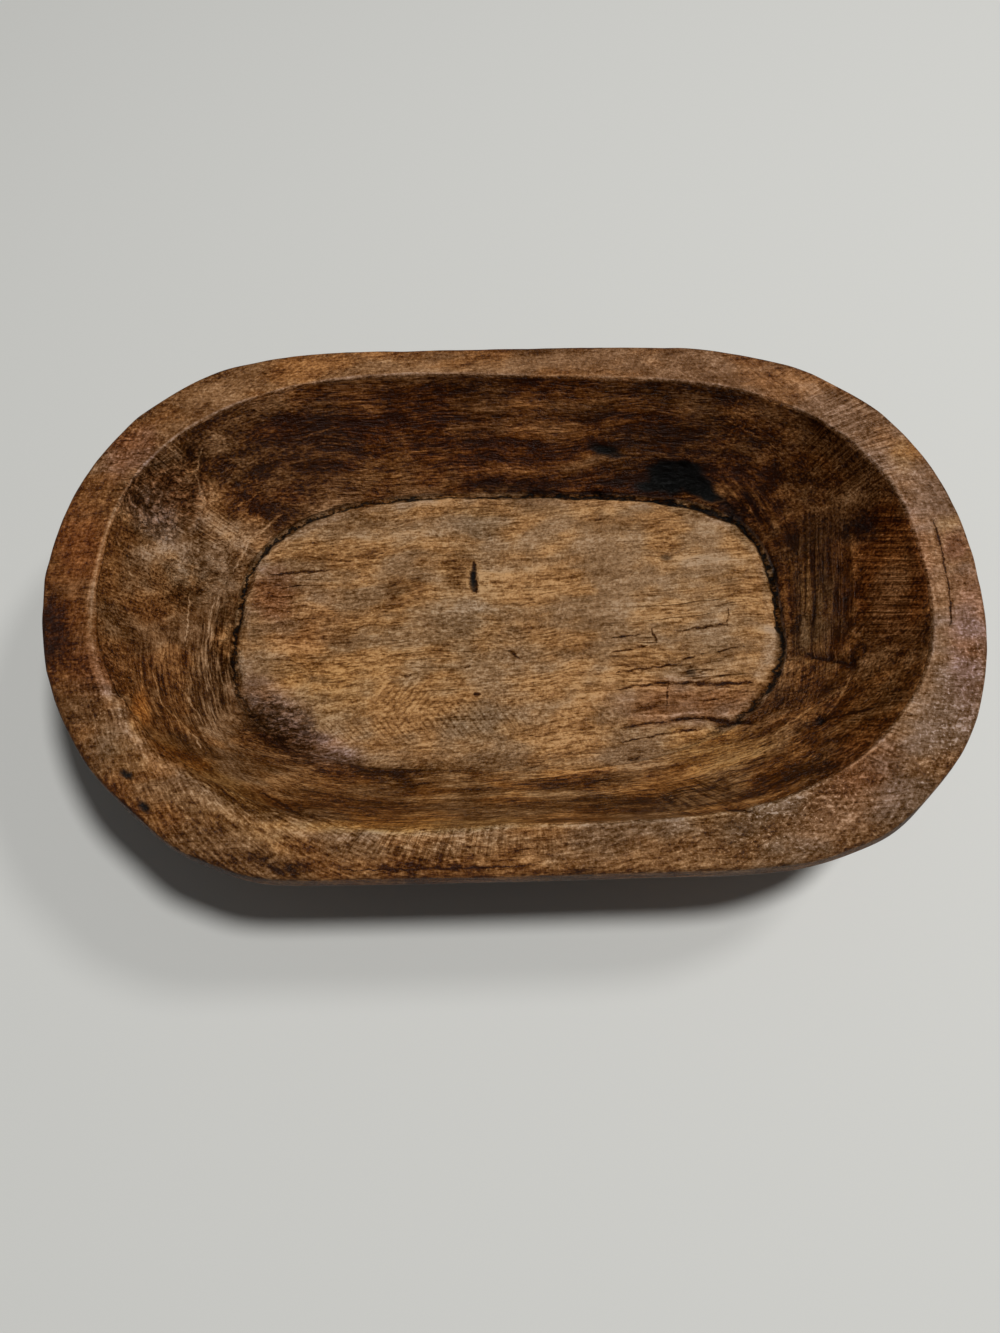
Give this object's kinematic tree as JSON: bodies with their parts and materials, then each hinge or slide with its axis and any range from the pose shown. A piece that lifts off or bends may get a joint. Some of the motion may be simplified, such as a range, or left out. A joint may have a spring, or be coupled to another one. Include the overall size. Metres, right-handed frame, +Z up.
{
  "type": "dough bowl",
  "caption": "Oblong hand-carved wooden dough bowl with a flat rim, sloping gouged walls, a level floor and a flat foot, for rising dough or holding fruit and bread.",
  "frame": {"origin": "middle of the foot, on the surface that the bowl stands on", "axes": "+X along the bowl, +Y towards the long side with the steeper wall, +Z up out of the mouth"},
  "size_m": [0.229, 0.15, 0.044],
  "materials": {
    "waxed_wood": "satin wax over hand-tooled wood"
  },
  "bodies": {
    "root": {"carved_bowl": "waxed_wood"}
  },
  "joints": []
}
